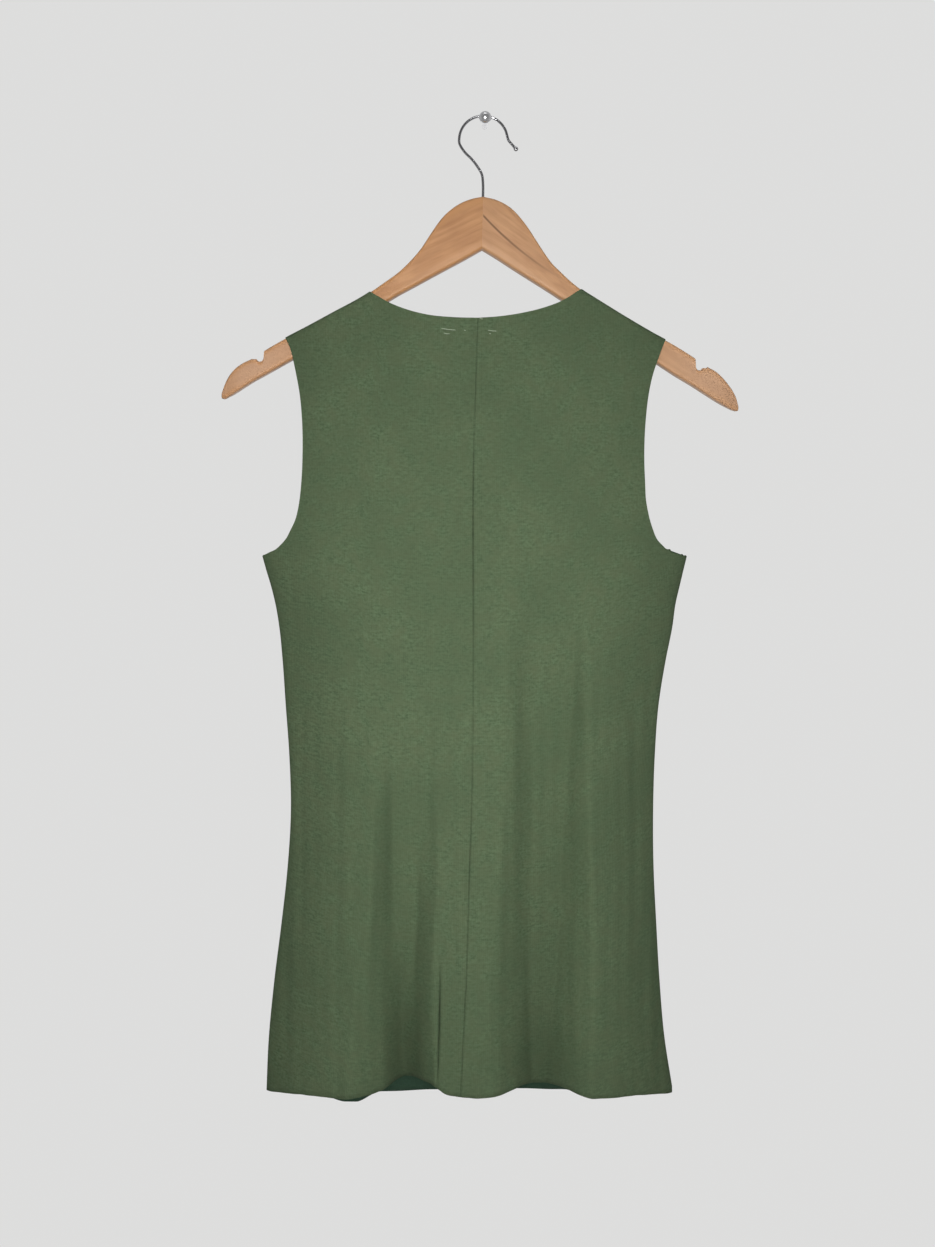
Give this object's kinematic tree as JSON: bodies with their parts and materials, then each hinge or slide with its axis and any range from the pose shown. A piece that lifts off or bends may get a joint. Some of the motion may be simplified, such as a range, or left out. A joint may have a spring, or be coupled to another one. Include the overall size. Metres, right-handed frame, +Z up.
{
  "type": "tank top on a wooden hanger with its wall pin",
  "caption": "Sleeveless jersey top hung by its shoulders on a wooden hanger, whose wire hook rests on a ball-headed pin in a wall. Its back faces the viewer.",
  "frame": {"origin": "centre of the wall pin's flat end, in the plane of the wall's face", "axes": "+X to the viewer's right along the shoulders, +Y into the wall, +Z up; the garment's back faces -Y"},
  "size_m": [0.4508, 0.0584, 0.8559],
  "materials": {
    "cloth": "matt fine jersey",
    "wood": "satin varnish",
    "chrome": "polished"
  },
  "bodies": {
    "root": {"front": "cloth", "back_left": "cloth", "back_right": "cloth", "hanger_arm_left": "wood", "hanger_arm_right": "wood", "hook": "chrome", "wall_pin": "chrome"}
  },
  "joints": []
}
